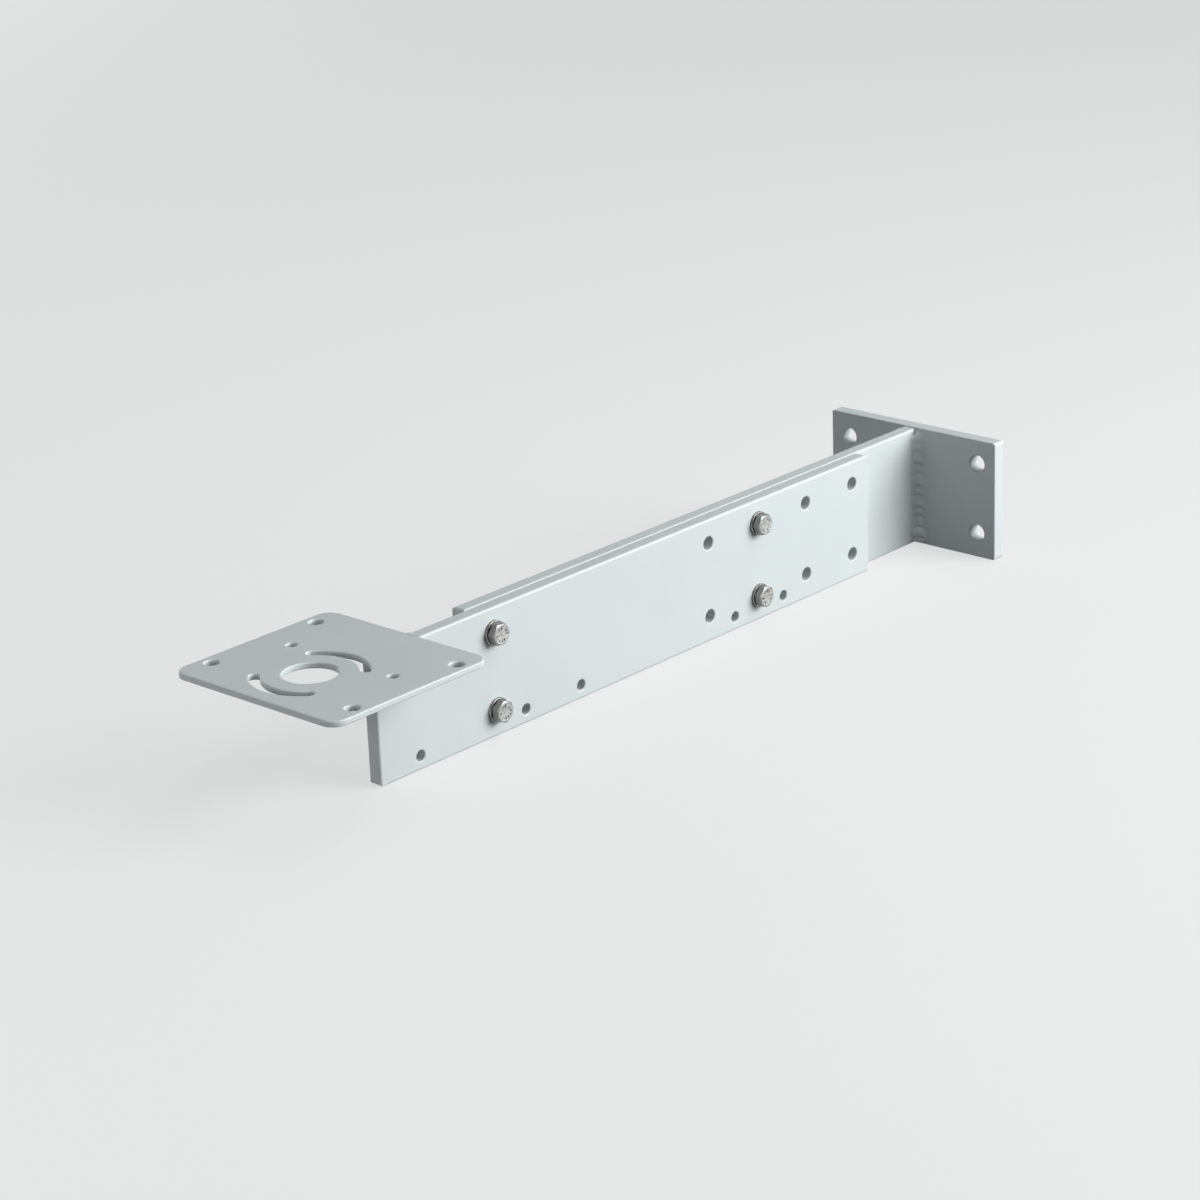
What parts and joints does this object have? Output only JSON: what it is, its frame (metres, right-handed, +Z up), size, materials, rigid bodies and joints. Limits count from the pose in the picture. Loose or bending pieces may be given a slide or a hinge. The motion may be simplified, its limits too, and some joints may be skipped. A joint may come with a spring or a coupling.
{
  "type": "cantilever arm",
  "caption": "Bolted flat-bar cantilever arm with a welded wall flange at one end and a drilled device plate with a cable hole and arc slots at the other.",
  "frame": {"origin": "centre of the flange's four wall holes, on the face that meets the wall", "axes": "+X from the wall along the arm to the free end, +Y from the wall bar to the device bar, +Z up"},
  "size_m": [0.6305, 0.14, 0.084],
  "materials": {
    "powder_coat": "satin light grey powder coat",
    "weld_coat": "rippled weld under the same powder coat",
    "stainless_hex": "cold-formed stainless steel, satin",
    "stainless_washer": "stamped stainless steel, bright"
  },
  "bodies": {
    "root": {"wall_flange": "powder_coat", "wall_bar": "powder_coat", "device_bar": "powder_coat", "device_plate": "powder_coat", "flange_weld_near": "weld_coat", "flange_weld_far": "weld_coat", "plate_seam_weld": "weld_coat", "plate_weld_near": "weld_coat", "plate_weld_far": "weld_coat", "bolt_wall_upper": "stainless_hex", "bolt_wall_lower": "stainless_hex", "bolt_free_upper": "stainless_hex", "bolt_free_lower": "stainless_hex", "head_washer_wall_upper": "stainless_washer", "head_washer_wall_lower": "stainless_washer", "head_washer_free_upper": "stainless_washer", "head_washer_free_lower": "stainless_washer", "nut_washer_wall_upper": "stainless_washer", "nut_washer_wall_lower": "stainless_washer", "nut_washer_free_upper": "stainless_washer", "nut_washer_free_lower": "stainless_washer", "nut_wall_upper": "stainless_hex", "nut_wall_lower": "stainless_hex", "nut_free_upper": "stainless_hex", "nut_free_lower": "stainless_hex"}
  },
  "joints": []
}
